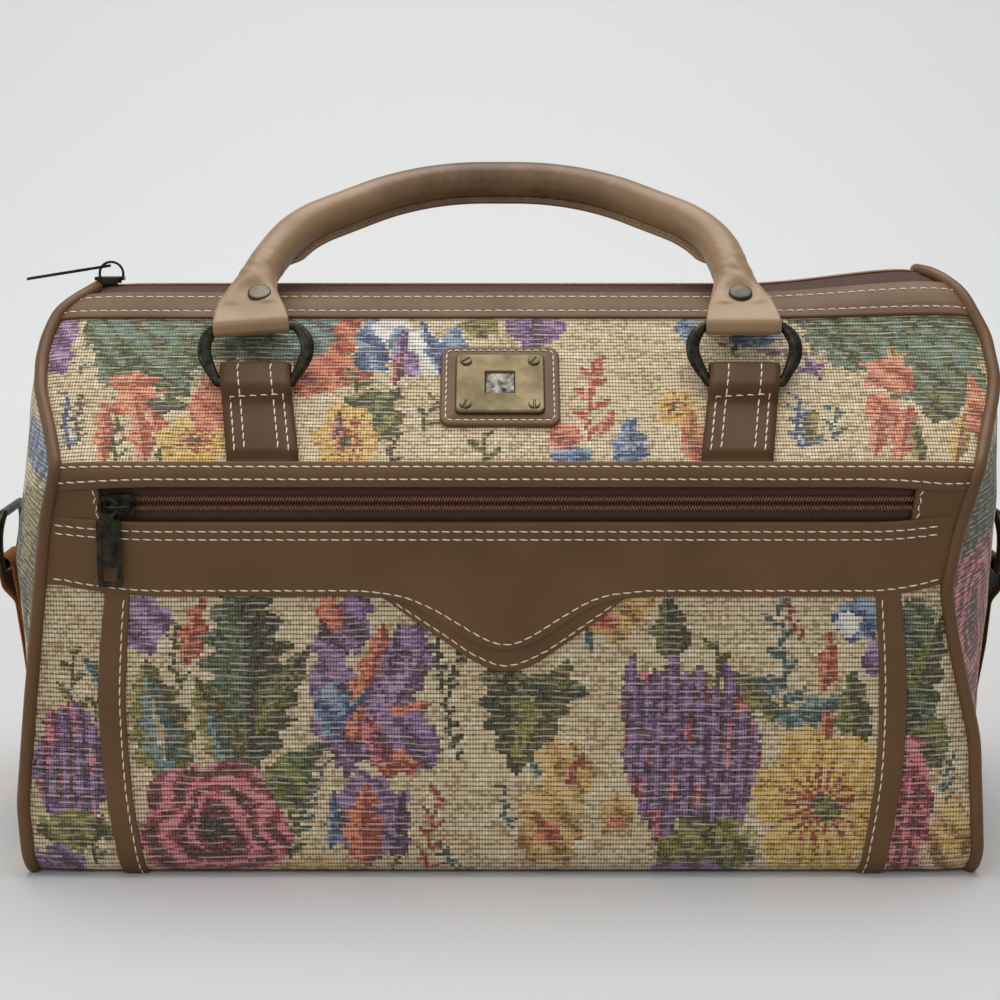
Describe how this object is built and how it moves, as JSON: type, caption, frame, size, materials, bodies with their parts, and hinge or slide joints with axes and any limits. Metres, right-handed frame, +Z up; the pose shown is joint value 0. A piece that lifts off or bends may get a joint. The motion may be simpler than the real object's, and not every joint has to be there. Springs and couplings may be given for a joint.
{
  "type": "satchel",
  "caption": "Soft zipped carry-on satchel of floral tapestry with tan trim, rolled handles on oval rings, a zipped front pocket with a V flap, and end strap rings.",
  "frame": {"origin": "middle of the base, on the surface that the bag stands on", "axes": "+X to the bag's right end seen from the front, +Y to the back, +Z up"},
  "size_m": [0.4782, 0.2661, 0.3063],
  "materials": {
    "tapestry": "woven, floral, in soft greens, cream, coral and purple",
    "trim": "smooth, satin, tan brown",
    "zip_tape": "woven, rust brown",
    "coil": "moulded coil, rust brown",
    "gunmetal": "dark antique, satin",
    "plate": "brushed, antique, dulled",
    "board": "matte",
    "lining": "plain weave, brown"
  },
  "bodies": {
    "bag": {"front_upper_panel": "tapestry", "front_pocket_panel": "tapestry", "front_side_panel_left": "tapestry", "front_side_panel_right": "tapestry", "back_upper_panel": "tapestry", "back_lower_panel": "tapestry", "base_panel": "tapestry", "end_panel_left": "tapestry", "end_panel_right": "tapestry", "piping_left": "trim", "piping_right": "trim", "top_band_front": "trim", "top_band_back": "trim", "top_zip_tape": "zip_tape", "top_zip_coil": "coil", "upper_band": "trim", "back_band": "trim", "pocket_band": "trim", "pocket_flap_under": "trim", "pocket_strip_left": "trim", "pocket_strip_right": "trim", "pocket_zip_tape": "zip_tape", "pocket_zip_coil": "coil", "zip_end_block_left": "trim", "zip_end_block_right": "trim", "front_tab_left": "trim", "front_tab_right": "trim", "rear_tab_left": "trim", "rear_tab_right": "trim", "name_patch": "trim", "name_plate": "plate", "plate_screws": "plate", "end_tab_left": "trim", "end_tab_right": "trim", "base_board": "board", "lining_sack": "lining", "pocket_lining": "lining"},
    "top_slider": {"top_zip_slider": "gunmetal"},
    "top_pull": {"top_zip_pull": "gunmetal"},
    "pocket_slider": {"pocket_zip_slider": "gunmetal"},
    "pocket_pull": {"pocket_zip_pull": "gunmetal"},
    "front_ring_l": {"front_ring_left": "gunmetal"},
    "front_ring_r": {"front_ring_right": "gunmetal"},
    "front_grip": {"front_handle": "trim", "front_handle_rivets": "gunmetal"},
    "rear_ring_l": {"rear_ring_left": "gunmetal"},
    "rear_ring_r": {"rear_ring_right": "gunmetal"},
    "rear_grip": {"rear_handle": "trim", "rear_handle_rivets": "gunmetal"},
    "end_ring_l": {"end_ring_left": "gunmetal"},
    "end_ring_r": {"end_ring_right": "gunmetal"}
  },
  "joints": [
    {"name": "top_zip_slide", "type": "slide", "parent": "bag", "child": "top_slider", "axis": [1, 0, 0], "range_m": [0, 0.33]},
    {"name": "top_pull_swing", "type": "hinge", "parent": "top_slider", "child": "top_pull", "pos_m": [-0.186, 0, 0.25793], "axis": [0, 1, 0], "range_deg": [0, 90]},
    {"name": "pocket_zip_slide", "type": "slide", "parent": "bag", "child": "pocket_slider", "axis": [1, 0, 0], "range_m": [0, 0.325]},
    {"name": "pocket_pull_swing", "type": "hinge", "parent": "pocket_slider", "child": "pocket_pull", "pos_m": [-0.165, -0.1056, 0.1631], "axis": [0, 1, 0], "range_deg": [-35, 90]},
    {"name": "front_ring_left_swing", "type": "hinge", "parent": "bag", "child": "front_ring_l", "pos_m": [-0.107, -0.06837, 0.21142], "axis": [1, 0, 0], "range_deg": [0, 120]},
    {"name": "front_ring_right_swing", "type": "hinge", "parent": "bag", "child": "front_ring_r", "pos_m": [0.107, -0.06837, 0.21142], "axis": [1, 0, 0], "range_deg": [0, 120]},
    {"name": "front_handle_swing", "type": "hinge", "parent": "front_ring_l", "child": "front_grip", "pos_m": [-0.107, -0.0557, 0.23526], "axis": [1, 0, 0], "range_deg": [0, 88]},
    {"name": "rear_ring_left_swing", "type": "hinge", "parent": "bag", "child": "rear_ring_l", "pos_m": [-0.107, 0.06837, 0.21142], "axis": [1, 0, 0], "range_deg": [0, 130]},
    {"name": "rear_ring_right_swing", "type": "hinge", "parent": "bag", "child": "rear_ring_r", "pos_m": [0.107, 0.06837, 0.21142], "axis": [1, 0, 0], "range_deg": [0, 130]},
    {"name": "rear_handle_swing", "type": "hinge", "parent": "rear_ring_l", "child": "rear_grip", "pos_m": [-0.107, 0.09478, 0.20581], "axis": [1, 0, 0], "range_deg": [0, 77]},
    {"name": "end_ring_left_swing", "type": "hinge", "parent": "bag", "child": "end_ring_l", "pos_m": [-0.23495, 0, 0.1168], "axis": [0, -1, 0], "range_deg": [0, 150]},
    {"name": "end_ring_right_swing", "type": "hinge", "parent": "bag", "child": "end_ring_r", "pos_m": [0.23495, 0, 0.1168], "axis": [0, 1, 0], "range_deg": [0, 150]}
  ],
  "couplings": [
    {"joint": "front_ring_right_swing", "follows": "front_ring_left_swing", "ratio": 1},
    {"joint": "rear_ring_right_swing", "follows": "rear_ring_left_swing", "ratio": 1}
  ]
}
